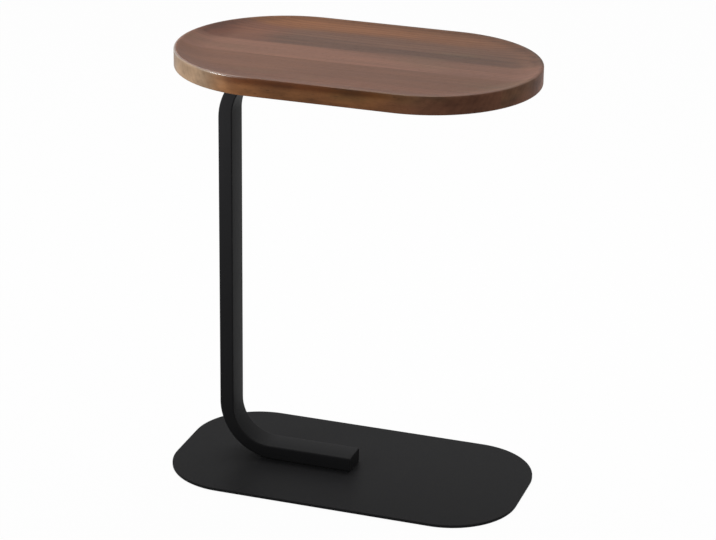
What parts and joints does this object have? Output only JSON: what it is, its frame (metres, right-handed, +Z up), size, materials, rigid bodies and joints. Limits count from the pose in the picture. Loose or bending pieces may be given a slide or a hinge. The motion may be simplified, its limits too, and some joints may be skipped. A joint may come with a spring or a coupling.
{
  "type": "c shaped side table",
  "caption": "C-shaped side table: a dished stadium-shaped wooden top on a bent black steel tube that stands on a flat steel base, so it slides over a seat or bed.",
  "frame": {"origin": "on the floor, under the middle of the wooden top and of the base plate, which are both centred there", "axes": "+X from the upright towards the open side of the C, +Y across the table, square to the plane of the C, +Z up"},
  "size_m": [0.5, 0.305, 0.61],
  "materials": {
    "oiled_wood": "planks glued side by side, brown and grey-brown, matt oil finish",
    "black_powder_coat": "black powder coat with a fine texture, satin",
    "blackened_steel": "black oxide fasteners, satin",
    "zinc_plated_steel": "bright zinc plate, hidden inside the foot",
    "black_rubber": "thin self-adhesive rubber pads, matt"
  },
  "bodies": {
    "root": {"wooden_top": "oiled_wood", "c_frame_tube": "black_powder_coat", "arm_end_plate": "black_powder_coat", "foot_end_plate": "black_powder_coat", "bracket_front_left": "black_powder_coat", "bracket_front_right": "black_powder_coat", "bracket_back_left": "black_powder_coat", "bracket_back_right": "black_powder_coat", "top_screws": "blackened_steel", "base_plate": "black_powder_coat", "foot_nut_bar": "zinc_plated_steel", "base_screws": "blackened_steel", "pad_front_left": "black_rubber", "pad_front_middle": "black_rubber", "pad_front_right": "black_rubber", "pad_back_left": "black_rubber", "pad_back_middle": "black_rubber", "pad_back_right": "black_rubber"}
  },
  "joints": []
}
